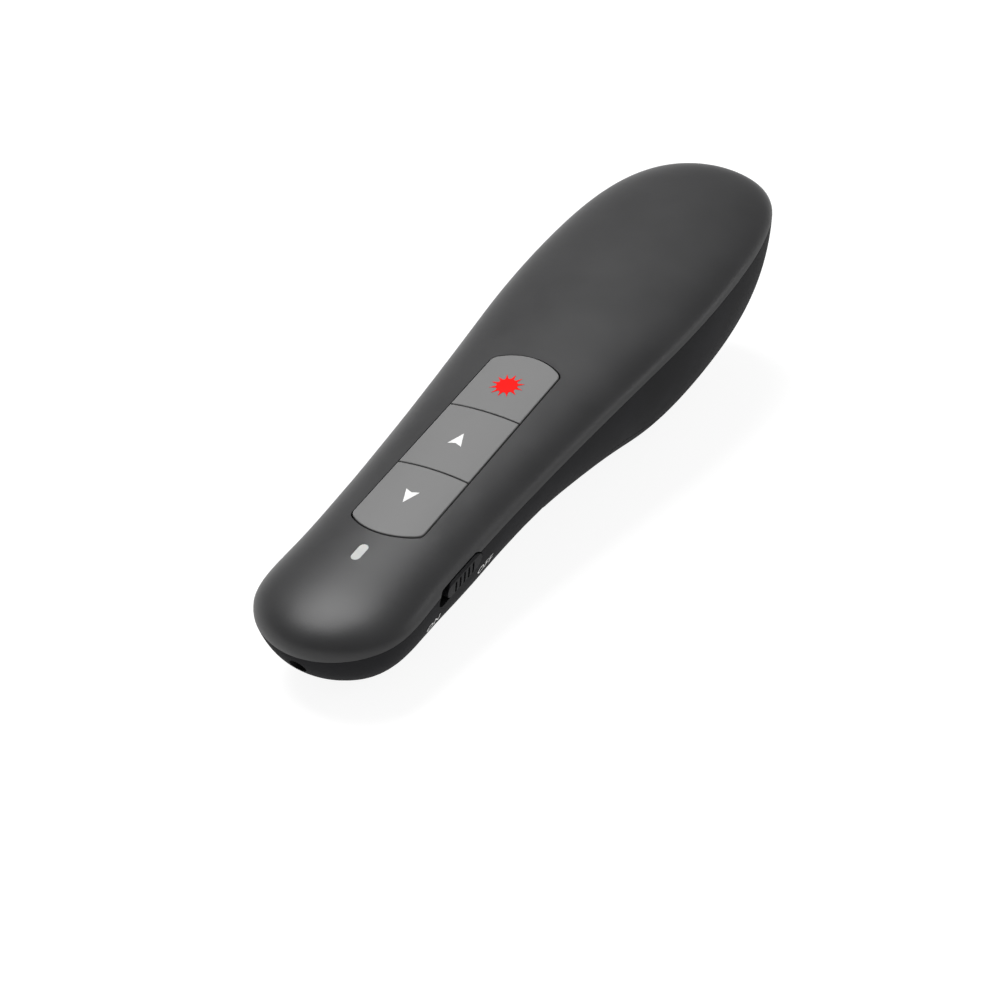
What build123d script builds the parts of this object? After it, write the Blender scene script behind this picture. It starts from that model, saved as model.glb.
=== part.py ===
from build123d import *
import os
from math import asin, atan2, cos, degrees, radians, sin, sqrt

# Wireless presentation clicker, in millimetres.
#
# Every piece is modelled in the seam frame: Y runs from the nose tip to the palm end, Z is up
# from the seam between the two casing halves, and X is across. At the end the finished
# pieces are set down together on the table, on the flats under the nose and the belly.

# ---------------------------------------------------------------------------------------
# Body outline
# ---------------------------------------------------------------------------------------
BODY_LENGTH = 124.0
OUTLINE_Y = [0.0, 24.0, 44.0, 62.0, BODY_LENGTH - 44.0, BODY_LENGTH - 24.0, BODY_LENGTH]
# Half width at the seam and depth of the hull, before the two ends are rounded off
HALF_WIDTHS = [12.4, 12.2, 13.3, 14.9, 16.8, 18.6, 21.3]
HULL_DEPTHS = [9.4, 13.1, 13.5, 17.7, 23.6, 27.6, 34.6]
CROWN_HEIGHT = 4.3
NOSE_ROUNDING = 11.0
NOSE_FULLNESS = 1.95
TAIL_ROUNDING = 60.0
TAIL_FULLNESS = 2.8
CROWN_TAPER = 0.75
HULL_TAPER = 1.06
# Share of its height by which each half's ellipse is centred past the seam
CROWN_CREASE = 0.06
HULL_CREASE = 0.25
WALL = 1.7
SECTION_SPACING = 6.5
NOSE_SECTION_ANGLES = (2, 10, 20, 31, 43, 56, 72)
TAIL_SECTION_ANGLES = (90, 80, 70, 61, 52, 44, 36, 28, 21, 14, 8, 3, 0.5)
SEAM_GROOVE_HEIGHT = 0.06
SEAM_GROOVE_DEPTH = 0.2

# Flats that the clicker rests on
NOSE_FLAT_Y = 14.0
NOSE_FLAT_CUT = 0.25
BELLY_FLAT_Y = 88.0
BELLY_FLAT_CUT = 0.5

# ---------------------------------------------------------------------------------------
# Thumb keys
# ---------------------------------------------------------------------------------------
KEY_WIDTH = 11.7
KEYS_FRONT_Y = 21.3
KEYS_REAR_Y = 62.9
FRONT_BOW = 2.2
REAR_BOW = 1.85
PAGE_GAP_Y = 35.35
LASER_GAP_Y = 49.3
KEY_GAP = 0.22
KEY_CORNER_RADIUS = 1.4
KEY_PROUD = 0.15
KEY_EDGE_RADIUS = 0.15
KEY_FLANGE = 0.8
KEY_LIFT_GAP = 0.3
KEY_UNDERSIDE_Z = 0.9
KEY_TRAVEL = 0.5
PLUNGER_RADIUS = 1.6
PLUNGER_LENGTH = 0.3

# ---------------------------------------------------------------------------------------
# Circuit board and what it carries
# ---------------------------------------------------------------------------------------
BOARD_TOP_Z = -1.7
BOARD_THICKNESS = 1.2
BOARD_HALF_WIDTH = 8.6
BOARD_FRONT_Y = 12.0
BOARD_REAR_Y = 61.0
BOARD_CORNER_RADIUS = 1.5
TACT_SIZE = 4.5
TACT_HEIGHT = 1.6
TACT_CORNER = 0.4
TACT_WELL_GAP = 0.2
STEM_RADIUS = 1.0
STEM_CLEARANCE = 0.06
STEM_OVERLAP = 0.35
LED_Y = 17.0
LED_SIZE = (0.8, 1.6, 0.6)
WINDOW_LENGTH = 3.3
WINDOW_WIDTH = 1.5
WINDOW_CLEARANCE = 0.05
WINDOW_FLANGE = 0.7
WINDOW_FLANGE_THICKNESS = 0.6
LIGHT_GAP = 0.2
CHIP_SIZE = (5.0, 5.0, 0.9)
CHIP_Y = 33.0
CRYSTAL_SIZE = (3.2, 2.5, 0.8)
CRYSTAL_Y = 39.5
CAPACITOR_SIZE = (0.8, 1.6, 0.7)
CAPACITOR_PITCH = 2.4
CAPACITOR_COUNT = 4
CAPACITOR_Y = 44.5

# ---------------------------------------------------------------------------------------
# ON/OFF slide switch on the +X side
# ---------------------------------------------------------------------------------------
SLOT_Y = 22.5
SLOT_Z = -0.95
SLOT_LENGTH = 10.6
SLOT_HEIGHT = 3.1
KNOB_CLEARANCE = 0.2
KNOB_LENGTH = 8.4
KNOB_TRAVEL = 1.8
KNOB_PROUD = 0.1
KNOB_RIBS = 5
KNOB_RIB_PITCH = 1.05
KNOB_GROOVE_WIDTH = 0.45
KNOB_GROOVE_DEPTH = 0.5
KNOB_GROOVE_TOP_Z = -0.25
KNOB_FLANGE_INNER_X = 9.1
KNOB_FLANGE_THICKNESS = 0.8
KNOB_FLANGE_OVERLAP = 0.35
KNOB_POCKET_GAP = 0.3
SWITCH_HEIGHT = 1.9
SWITCH_LENGTH = 8.6
SWITCH_WIDTH = 3.6
LEVER_SIZE = 1.1
LEVER_CLEARANCE = 0.1
LEVER_SEAT = 0.5

# ---------------------------------------------------------------------------------------
# Laser module
# ---------------------------------------------------------------------------------------
LASER_OPENING_RADIUS = 1.3
BARREL_RADIUS = 3.0
BARREL_FRONT_Y = 4.8
BARREL_LENGTH = 9.4
LENS_RADIUS = 2.1
LENS_EDGE = 0.7
LENS_BULGE = 0.5
LENS_INSET = 0.8
DIODE_RADIUS = 2.7
DIODE_FLANGE = 1.2
DIODE_CAN_RADIUS = 1.8
DIODE_CAN_LENGTH = 2.4
DIODE_PIN_RADIUS = 0.22
DIODE_PIN_LENGTH = 1.7
DIODE_PIN_X = 1.0
MODULE_CLEARANCE = 0.05

# ---------------------------------------------------------------------------------------
# Battery bay
# ---------------------------------------------------------------------------------------
CELL_RADIUS = 5.25
CELL_LENGTH = 44.5
CELL_GAP = 0.4
CELL_Z = -7.6
CELL_NUB_RADIUS = 1.9
CELL_NUB_LENGTH = 0.9
CELL_EDGE_RADIUS = 0.4
DECK_TOP_Z = -1.0
DECK_THICKNESS = 1.2
BULKHEAD_Y = 62.8
BULKHEAD_THICKNESS = 1.2
BAY_WALL_THICKNESS = 1.1
BAY_WALL_BOTTOM_Z = -7.0
CELL_SIDE_GAP = 0.15
CONTACT_THICKNESS = 0.4
CONTACT_SIZE = 7.0
CONTACT_GAP = 0.05
CONTACT_TAB_WIDTH = 2.0
SPRING_LENGTH = 4.2
SPRING_RADIUS = 2.6
SPRING_WIRE_RADIUS = 0.3
SPRING_TURNS = 3

# ---------------------------------------------------------------------------------------
# Battery cover: a skin panel of the hull, wider behind its side tabs
# ---------------------------------------------------------------------------------------
COVER_HALF_WIDTH = 11.6
COVER_WIDE_HALF_WIDTH = 12.8
COVER_TOP_Z = -4.0
COVER_GAP = 0.15
COVER_TRAVEL = 6.0
TAB_Y = 80.0
TAB_LENGTH = 3.6
TAB_REACH = 0.9
TAB_THICKNESS = 0.9
TAB_ROOT = 1.2
TONGUE_REACH = 1.6
TONGUE_WIDTH = 3.5
TONGUE_X = 3.0
TONGUE_ROOT = 4.0
GRIP_GROOVES = 5
GRIP_GROOVE_Y = 71.0
GRIP_GROOVE_PITCH = 1.9
GRIP_GROOVE_WIDTH = 0.8
GRIP_GROOVE_DEPTH = 0.4
GRIP_GROOVE_LENGTH = 11.0

# ---------------------------------------------------------------------------------------
# Stowed USB receiver
# ---------------------------------------------------------------------------------------
PLUG_WIDTH = 12.0
PLUG_HEIGHT = 4.5
PLUG_LENGTH = 12.2
PLUG_WALL = 0.3
RECEIVER_WIDTH = 14.0
RECEIVER_LENGTH = 6.0
RECEIVER_HEIGHT = 5.8
RECEIVER_FROM_TAIL = 28.5
RECEIVER_GAP = 0.2
RECEIVER_EDGE_RADIUS = 0.8
TONGUE_BOARD_THICKNESS = 1.6
USB_CONTACTS = 4
USB_CONTACT_PITCH = 2.4
USB_CONTACT_SIZE = (1.2, 8.0, 0.2)
CRADLE_RIB = 1.0

# ---------------------------------------------------------------------------------------
# Screws
# ---------------------------------------------------------------------------------------
SCREW_RADIUS = 0.85
SCREW_HEAD_RADIUS = 1.7
SCREW_HEAD_HEIGHT = 1.3
DECK_SCREW_LENGTH = 4.8
NECK_SCREW_LENGTH = 7.2
SCREW_GAP = 0.05
SCREW_HEAD_GAP = 0.25
SCREW_SLOT_WIDTH = 0.5
SCREW_SLOT_DEPTH = 0.6
BOSS_WALL = 0.8
BOSS_GAP = 0.3
NECK_SCREW_X = 8.6
NECK_SCREW_Y = 46.0
NECK_SCREW_SEAT_Z = -6.4
POST_FOOT_Z = -1.0
DECK_SCREW_MARGIN = 7.3
BOARD_SCREW_X = 6.6
BOARD_SCREW_YS = [15.2, 57.6]
BOARD_SCREW_RADIUS = 0.7
BOARD_SCREW_HEAD_RADIUS = 1.35
BOARD_SCREW_HEAD_HEIGHT = 0.9
BOARD_SCREW_LENGTH = 4.2
BOARD_POST_RADIUS = 1.7

# ---------------------------------------------------------------------------------------
# Values that follow from the sizes above
# ---------------------------------------------------------------------------------------
BOARD_BOTTOM_Z = BOARD_TOP_Z - BOARD_THICKNESS
LASER_Z = BOARD_TOP_Z - BOARD_THICKNESS / 2
DECK_BOTTOM_Z = DECK_TOP_Z - DECK_THICKNESS
BAY_FRONT_Y = BULKHEAD_Y + BULKHEAD_THICKNESS
CELLS_FRONT_Y = BAY_FRONT_Y + CONTACT_GAP + CONTACT_THICKNESS
CELLS_REAR_Y = CELLS_FRONT_Y + SPRING_LENGTH + CELL_LENGTH
BAY_REAR_Y = CELLS_REAR_Y + CONTACT_THICKNESS + CONTACT_GAP
CELL_X = CELL_RADIUS + CELL_GAP / 2
BAY_HALF_WIDTH = CELL_X + CELL_RADIUS + CELL_SIDE_GAP
CELLS_BOTTOM_Z = CELL_Z - CELL_RADIUS
RECEIVER_FRONT_Y = BODY_LENGTH - RECEIVER_FROM_TAIL
RECEIVER_Z = CELLS_BOTTOM_Z - RECEIVER_GAP - RECEIVER_HEIGHT / 2
DECK_SCREW_YS = [BAY_FRONT_Y + DECK_SCREW_MARGIN, BAY_REAR_Y - DECK_SCREW_MARGIN]
KEY_EDGES_Y = [KEYS_FRONT_Y, PAGE_GAP_Y, LASER_GAP_Y, KEYS_REAR_Y]
KEY_CENTRES_Y = [
    (KEYS_FRONT_Y + PAGE_GAP_Y) / 2 + KEY_GAP,
    (PAGE_GAP_Y + LASER_GAP_Y) / 2,
    (LASER_GAP_Y + KEYS_REAR_Y) / 2 - KEY_GAP,
]
FAR = 3 * max(HULL_DEPTHS)
UP = (0, 0, 1)
DOWN = (0, 0, -1)
REARWARD = (0, 1, 0)
FORWARD = (0, -1, 0)


def smooth(values, y):
    """Value at y of the smooth curve through the outline's stations."""
    gaps = [b - a for a, b in zip(OUTLINE_Y, OUTLINE_Y[1:])]
    rises = [(b - a) / g for a, b, g in zip(values, values[1:], gaps)]
    slopes = [rises[0]]
    for r0, r1, g0, g1 in zip(rises, rises[1:], gaps, gaps[1:]):
        slopes.append((r0 * g1 + r1 * g0) / (g0 + g1))
    slopes.append(rises[-1])
    i = 0
    while i < len(gaps) - 1 and y > OUTLINE_Y[i + 1]:
        i += 1
    t = (y - OUTLINE_Y[i]) / gaps[i]
    start = values[i] * (1 + 2 * t) * (1 - t) ** 2 + slopes[i] * gaps[i] * t * (1 - t) ** 2
    end = values[i + 1] * t * t * (3 - 2 * t) + slopes[i + 1] * gaps[i] * t * t * (t - 1)
    return start + end


def end_share(y, inset):
    """Share of the full section that the rounded ends leave at y: 0 at the tips, 1 between."""
    nose = max(0.0, NOSE_ROUNDING - y) / (NOSE_ROUNDING - inset)
    tail = max(0.0, y - BODY_LENGTH + TAIL_ROUNDING) / (TAIL_ROUNDING - inset)
    nose_share = (1 - min(1.0, nose) ** NOSE_FULLNESS) ** (1 / NOSE_FULLNESS)
    tail_share = (1 - min(1.0, tail) ** TAIL_FULLNESS) ** (1 / TAIL_FULLNESS)
    return nose_share * tail_share


def half_width(y, inset=0.0):
    return (smooth(HALF_WIDTHS, y) - inset) * end_share(y, inset)


def crown_height(y, inset=0.0):
    return (CROWN_HEIGHT - inset) * end_share(y, inset) ** CROWN_TAPER


def hull_depth(y, inset=0.0):
    return (smooth(HULL_DEPTHS, y) - inset) * end_share(y, inset) ** HULL_TAPER


def hull_z(x, y, inset):
    """Z of the hull's skin, moved in by inset, at a place in plan."""
    spread = sqrt(1 - (HULL_CREASE / (1 + HULL_CREASE)) ** 2)
    across = x * spread / half_width(y, inset)
    return hull_depth(y, inset) * (HULL_CREASE - (1 + HULL_CREASE) * sqrt(1 - across**2))


def section_places(inset):
    """Places of the loft's sections along Y, crowded toward the two tips."""
    nose = NOSE_ROUNDING - inset
    tail = TAIL_ROUNDING - inset
    between = BODY_LENGTH - TAIL_ROUNDING - NOSE_ROUNDING
    steps = max(2, round(between / SECTION_SPACING))
    places = [inset + nose * (1 - cos(radians(a))) for a in NOSE_SECTION_ANGLES]
    places += [NOSE_ROUNDING + between * i / steps for i in range(steps)]
    places += [BODY_LENGTH - inset - tail * (1 - cos(radians(a))) for a in TAIL_SECTION_ANGLES]
    return places


def station(y):
    """Cross-section plane at y: X across, and its own Y up from the seam."""
    return Plane(origin=(0, y, 0), x_dir=(1, 0, 0), z_dir=(0, -1, 0))


def body_half(side, inset=0.0, past_seam=0.0):
    """Solid half of the body, above the seam (side 1) or below it (side -1).

    inset moves its skin inward, and past_seam carries its flat face over the seam.
    """
    crease = CROWN_CREASE if side > 0 else HULL_CREASE
    height_at = crown_height if side > 0 else hull_depth
    spread = sqrt(1 - (crease / (1 + crease)) ** 2)
    start = degrees(asin(crease / (1 + crease)))
    with BuildPart() as half:
        for y in section_places(inset):
            width = half_width(y, inset)
            height = height_at(y, inset)
            angle = start if side > 0 else 180 + start
            with BuildSketch(station(y)):
                with BuildLine():
                    arc = EllipticalCenterArc(
                        (0, -side * crease * height),
                        width / spread,
                        (1 + crease) * height,
                        start_angle=angle,
                        arc_size=180 - 2 * start,
                    )
                    if past_seam > 0:
                        first = arc @ 0
                        last = arc @ 1
                        below = -side * past_seam
                        Polyline(first, (first.X, below), (last.X, below), last)
                    else:
                        Line(arc @ 0, arc @ 1)
                make_face()
        loft()
    return half.part


def seam_plan(inset):
    """Plan outline of the body at the seam, moved in by inset."""
    places = section_places(inset)[1:-1]
    with BuildSketch() as plan:
        with BuildLine():
            edge = Spline(
                (0, inset),
                *[(half_width(y, inset), y) for y in places],
                (0, BODY_LENGTH - inset),
                tangents=[(1, 0), (-1, 0)],
            )
            mirror(edge, about=Plane.YZ)
        make_face()
    return plan.sketch


def key_plan(first, last, margin):
    """Plan outline from the first key to the last one, grown by margin on its outer sides.

    The front key's nose edge and the rear key's palm edge are bowed outward.
    """
    half = KEY_WIDTH / 2 + margin
    front = KEYS_FRONT_Y - margin
    rear = KEYS_REAR_Y + margin
    with BuildSketch() as plan:
        with BuildLine():
            Line((half, front + FRONT_BOW), (half, rear - REAR_BOW))
            ThreePointArc((half, rear - REAR_BOW), (0, rear), (-half, rear - REAR_BOW))
            Line((-half, rear - REAR_BOW), (-half, front + FRONT_BOW))
            ThreePointArc((-half, front + FRONT_BOW), (0, front), (half, front + FRONT_BOW))
        make_face()
        fillet(plan.vertices(), KEY_CORNER_RADIUS + margin)
        low = front if first == 0 else KEY_EDGES_Y[first] + KEY_GAP / 2
        high = rear if last == 2 else KEY_EDGES_Y[last + 1] - KEY_GAP / 2
        with Locations((0, (low + high) / 2)):
            Rectangle(2 * half, high - low, mode=Mode.INTERSECT)
    return plan.sketch


def column(plan, low, high):
    """Upright prism on a plan outline."""
    with BuildPart() as prism:
        with BuildSketch(Plane.XY.offset(low)):
            add(plan)
        extrude(amount=high - low)
    return prism.part


def block(x, y, z):
    """Box between the two ends given for each axis."""
    with BuildPart() as box:
        with Locations(((x[0] + x[1]) / 2, (y[0] + y[1]) / 2, (z[0] + z[1]) / 2)):
            Box(x[1] - x[0], y[1] - y[0], z[1] - z[0])
    return box.part


def rod(x, y, z, radius, length, direction):
    """Round bar that starts at a point and runs along direction."""
    with BuildPart() as bar:
        with BuildSketch(Plane(origin=(x, y, z), z_dir=direction)):
            Circle(radius)
        extrude(amount=length)
    return bar.part


# The belly and nose flats lie in one plane, which is the table when the clicker is at rest
nose_flat_z = NOSE_FLAT_CUT - hull_depth(NOSE_FLAT_Y)
belly_flat_z = BELLY_FLAT_CUT - hull_depth(BELLY_FLAT_Y)
REST_TILT = atan2(nose_flat_z - belly_flat_z, BELLY_FLAT_Y - NOSE_FLAT_Y)
TABLE = Plane(
    origin=(0, NOSE_FLAT_Y, nose_flat_z),
    x_dir=(1, 0, 0),
    z_dir=(0, sin(REST_TILT), cos(REST_TILT)),
)

crown_skin = body_half(1)
crown_cavity = body_half(1, WALL, WALL)
with BuildPart() as flat_hull:
    add(body_half(-1))
    split(bisect_by=TABLE, keep=Keep.TOP)
hull_skin = flat_hull.part
hull_cavity = body_half(-1, WALL, WALL)
hull_ledge = body_half(-1, WALL + COVER_GAP)
hull_ledge_inner = body_half(-1, WALL + COVER_GAP + TAB_THICKNESS)
hull_liner = body_half(-1, WALL - COVER_GAP)
grip_floor = body_half(-1, GRIP_GROOVE_DEPTH)

# The region that the battery cover takes out of the hull, and the panel that fills it
cover_wide_y = TAB_Y + COVER_TRAVEL - COVER_GAP


def cover_region(gap):
    """Prism along Y that holds the battery cover, with its sides moved in by gap."""
    top = COVER_TOP_Z - gap
    with BuildPart() as region:
        add(block(
            (gap - COVER_HALF_WIDTH, COVER_HALF_WIDTH - gap),
            (BAY_FRONT_Y + gap, BODY_LENGTH + WALL),
            (-FAR, top),
        ))
        add(block(
            (gap - COVER_WIDE_HALF_WIDTH, COVER_WIDE_HALF_WIDTH - gap),
            (cover_wide_y + gap, BODY_LENGTH + WALL),
            (-FAR, top),
        ))
    return region.part


def slot_prism(length, height, inner_x, outer_x):
    """Stadium bar along X through the side wall, centred on the switch slot."""
    with BuildPart() as bar:
        with BuildSketch(Plane(origin=(inner_x, SLOT_Y, SLOT_Z), x_dir=(0, 1, 0), z_dir=(1, 0, 0))):
            SlotOverall(length, height)
        extrude(amount=outer_x - inner_x)
    return bar.part


pocket_half_length = SLOT_LENGTH / 2 + KNOB_TRAVEL + KNOB_FLANGE_OVERLAP + KNOB_POCKET_GAP
knob_flange_outer_x = KNOB_FLANGE_INNER_X + KNOB_FLANGE_THICKNESS
pocket_x = (BOARD_HALF_WIDTH, knob_flange_outer_x + KNOB_POCKET_GAP)
flange_half_height = SLOT_HEIGHT / 2 + KNOB_FLANGE_OVERLAP
switch_pocket = block(
    pocket_x,
    (SLOT_Y - pocket_half_length, SLOT_Y + pocket_half_length),
    (SLOT_Z - flange_half_height - KNOB_POCKET_GAP, SLOT_Z + flange_half_height + KNOB_POCKET_GAP),
)
side_slot = slot_prism(SLOT_LENGTH, SLOT_HEIGHT, BOARD_HALF_WIDTH, BODY_LENGTH)

# ---------------------------------------------------------------------------------------
# Places of the screws, as (x, y, z of the seat)
# ---------------------------------------------------------------------------------------
neck_screws = [(x, NECK_SCREW_Y, NECK_SCREW_SEAT_Z) for x in (-NECK_SCREW_X, NECK_SCREW_X)]
deck_screws = [(0, y, DECK_BOTTOM_Z) for y in DECK_SCREW_YS]
board_screws_at = [
    (x, y, BOARD_TOP_Z) for y in BOARD_SCREW_YS for x in (-BOARD_SCREW_X, BOARD_SCREW_X)
]
post_radius = SCREW_RADIUS + BOSS_WALL
head_well_radius = SCREW_HEAD_RADIUS + SCREW_HEAD_GAP
boss_radius = head_well_radius + BOSS_WALL
boss_top_z = NECK_SCREW_SEAT_Z + BOSS_WALL

# ---------------------------------------------------------------------------------------
# Casing
# ---------------------------------------------------------------------------------------
with BuildPart() as cover_posts:
    for x, y, seat in neck_screws:
        add(rod(x, y, POST_FOOT_Z, post_radius, FAR, UP))
    for x, y, seat in deck_screws:
        add(rod(x, y, DECK_TOP_Z, post_radius, FAR, UP))
    # Rib that holds the laser barrel down in its cradle
    barrel_middle_y = BARREL_FRONT_Y + BARREL_LENGTH / 2
    add(block(
        (-BARREL_RADIUS / 2, BARREL_RADIUS / 2),
        (barrel_middle_y - CRADLE_RIB / 2, barrel_middle_y + CRADLE_RIB / 2),
        (LASER_Z + BARREL_RADIUS + MODULE_CLEARANCE, FAR),
    ))
    add(body_half(1, WALL / 2, -DECK_TOP_Z), mode=Mode.INTERSECT)

with BuildPart() as seam_groove:
    add(block((-FAR, FAR), (-FAR, BODY_LENGTH + FAR), (0, SEAM_GROOVE_HEIGHT)))
    add(column(seam_plan(SEAM_GROOVE_DEPTH), 0, SEAM_GROOVE_HEIGHT), mode=Mode.SUBTRACT)

with BuildPart() as light_slot:
    with BuildSketch():
        with Locations((0, LED_Y)):
            SlotOverall(WINDOW_LENGTH, WINDOW_WIDTH, rotation=90)
    extrude(amount=FAR)

with BuildPart() as top_cover:
    add(crown_skin)
    add(crown_cavity, mode=Mode.SUBTRACT)
    add(switch_pocket, mode=Mode.SUBTRACT)
    add(side_slot, mode=Mode.SUBTRACT)
    add(column(key_plan(0, 2, KEY_GAP), 0, FAR), mode=Mode.SUBTRACT)
    add(light_slot.part, mode=Mode.SUBTRACT)
    add(cover_posts.part)
    for x, y, seat in neck_screws:
        pilot = rod(x, y, seat, SCREW_RADIUS + SCREW_GAP, NECK_SCREW_LENGTH + SCREW_GAP, UP)
        add(pilot, mode=Mode.SUBTRACT)
    for x, y, seat in deck_screws:
        pilot = rod(x, y, seat, SCREW_RADIUS + SCREW_GAP, DECK_SCREW_LENGTH + SCREW_GAP, UP)
        add(pilot, mode=Mode.SUBTRACT)
    add(seam_groove.part, mode=Mode.SUBTRACT)
top_cover.part.label = "top_cover"

bay_rear_wall = (BAY_REAR_Y, BAY_REAR_Y + BAY_WALL_THICKNESS)
bay_wall_x = (BAY_HALF_WIDTH, BAY_HALF_WIDTH + BAY_WALL_THICKNESS)
bay_y = (BULKHEAD_Y, bay_rear_wall[1])
contact_half = CONTACT_SIZE / 2
with BuildPart() as housing_frame:
    # Deck over the cells, bulkhead in front of them, and the walls beside and behind them
    add(block((-FAR, FAR), bay_y, (DECK_BOTTOM_Z, DECK_TOP_Z)))
    add(block((-FAR, FAR), (BULKHEAD_Y, BAY_FRONT_Y), (-FAR, DECK_TOP_Z)))
    add(block(bay_wall_x, bay_y, (BAY_WALL_BOTTOM_Z, DECK_TOP_Z)))
    add(block((-bay_wall_x[1], -bay_wall_x[0]), bay_y, (BAY_WALL_BOTTOM_Z, DECK_TOP_Z)))
    add(block(
        (-CELL_X - contact_half, CELL_X + contact_half),
        bay_rear_wall,
        (CELL_Z - contact_half, DECK_TOP_Z),
    ))
    # Posts under the circuit board
    for x, y, seat in board_screws_at:
        add(rod(x, y, BOARD_BOTTOM_Z, BOARD_POST_RADIUS, FAR, DOWN))
    # Bosses of the two neck screws, wide around the head and slim beside the board
    for x, y, seat in neck_screws:
        add(rod(x, y, boss_top_z, boss_radius, FAR, DOWN))
        add(rod(x, y, POST_FOOT_Z, post_radius, BODY_LENGTH, DOWN))
    # Two saddles under the laser barrel
    for y in (BARREL_FRONT_Y + 2 * CRADLE_RIB, BARREL_FRONT_Y + BARREL_LENGTH - 2 * CRADLE_RIB):
        add(block(
            (-BARREL_RADIUS - CRADLE_RIB, BARREL_RADIUS + CRADLE_RIB),
            (y - CRADLE_RIB / 2, y + CRADLE_RIB / 2),
            (-FAR, LASER_Z),
        ))
    add(body_half(-1, WALL / 2), mode=Mode.INTERSECT)
    barrel_space = rod(0, 0, LASER_Z, BARREL_RADIUS + MODULE_CLEARANCE, BAY_FRONT_Y, REARWARD)
    add(barrel_space, mode=Mode.SUBTRACT)

# Space kept for the battery cover: all that lies outside the ledge surface in its region
with BuildPart() as cover_space:
    add(cover_region(0))
    add(hull_ledge, mode=Mode.SUBTRACT)

# Slots in the bulkhead that let the two tongues of the battery cover slide out
tongue_y = (BAY_FRONT_Y - TONGUE_REACH, BAY_FRONT_Y + TONGUE_ROOT)
tongue_outer_x = TONGUE_X + TONGUE_WIDTH / 2
tongue_top_z = hull_z(tongue_outer_x, tongue_y[0], WALL + COVER_GAP + TAB_THICKNESS)
with BuildPart() as tongue_slots:
    for x in (-TONGUE_X, TONGUE_X):
        half = TONGUE_WIDTH / 2 + COVER_GAP
        slot_y = (BULKHEAD_Y - WALL, BAY_FRONT_Y + WALL)
        add(block((x - half, x + half), slot_y, (-FAR, tongue_top_z + COVER_GAP)))
    add(hull_cavity, mode=Mode.INTERSECT)

contact_tab_z = (CELL_Z + contact_half - CONTACT_THICKNESS, CELL_Z + contact_half)
contact_tab_front_y = BOARD_REAR_Y - CONTACT_TAB_WIDTH / 2
with BuildPart() as lower_housing:
    add(hull_skin)
    add(hull_cavity, mode=Mode.SUBTRACT)
    add(switch_pocket, mode=Mode.SUBTRACT)
    add(side_slot, mode=Mode.SUBTRACT)
    add(housing_frame.part)
    add(cover_space.part, mode=Mode.SUBTRACT)
    add(tongue_slots.part, mode=Mode.SUBTRACT)
    laser_opening = rod(0, -WALL, LASER_Z, LASER_OPENING_RADIUS, BARREL_FRONT_Y + WALL, REARWARD)
    add(laser_opening, mode=Mode.SUBTRACT)
    for x, y, seat in neck_screws:
        add(rod(x, y, seat, head_well_radius, FAR, DOWN), mode=Mode.SUBTRACT)
    for x, y, seat in neck_screws + deck_screws:
        shank = rod(x, y, seat, SCREW_RADIUS + SCREW_GAP, NECK_SCREW_LENGTH, UP)
        add(shank, mode=Mode.SUBTRACT)
    for x, y, seat in board_screws_at:
        pilot = rod(x, y, seat, BOARD_SCREW_RADIUS + SCREW_GAP, BOARD_SCREW_LENGTH + SCREW_GAP, DOWN)
        add(pilot, mode=Mode.SUBTRACT)
    # Passages of the contact tabs through the bulkhead
    for x in (-CELL_X, CELL_X):
        half = CONTACT_TAB_WIDTH / 2 + CONTACT_GAP
        passage_z = (contact_tab_z[0] - CONTACT_GAP, contact_tab_z[1] + CONTACT_GAP)
        passage = block((x - half, x + half), (BULKHEAD_Y - WALL, BAY_FRONT_Y + WALL), passage_z)
        add(passage, mode=Mode.SUBTRACT)
lower_housing.part.label = "lower_housing"

# ---------------------------------------------------------------------------------------
# Battery cover with its side tabs, front tongues, grip and receiver cradle
# ---------------------------------------------------------------------------------------
tab_y = (TAB_Y, TAB_Y + TAB_LENGTH)
tab_root_x = COVER_HALF_WIDTH - TAB_ROOT
with BuildPart() as hooks:
    for side in (-1, 1):
        tab_x = sorted((side * tab_root_x, side * (COVER_HALF_WIDTH + TAB_REACH)))
        add(block(tab_x, tab_y, (-FAR, 0)))
        tongue_x = (side * TONGUE_X - TONGUE_WIDTH / 2, side * TONGUE_X + TONGUE_WIDTH / 2)
        add(block(tongue_x, tongue_y, (-FAR, 0)))
    add(hull_ledge, mode=Mode.INTERSECT)
    add(hull_ledge_inner, mode=Mode.SUBTRACT)

# Roots that join the hooks to the panel
with BuildPart() as hook_roots:
    for side in (-1, 1):
        root_x = sorted((side * tab_root_x, side * (COVER_HALF_WIDTH - COVER_GAP)))
        add(block(root_x, tab_y, (-FAR, 0)))
        tongue_x = (side * TONGUE_X - TONGUE_WIDTH / 2, side * TONGUE_X + TONGUE_WIDTH / 2)
        add(block(tongue_x, (BAY_FRONT_Y + COVER_GAP, tongue_y[1]), (-FAR, 0)))
    add(hull_liner, mode=Mode.INTERSECT)
    add(hull_ledge_inner, mode=Mode.SUBTRACT)

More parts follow.
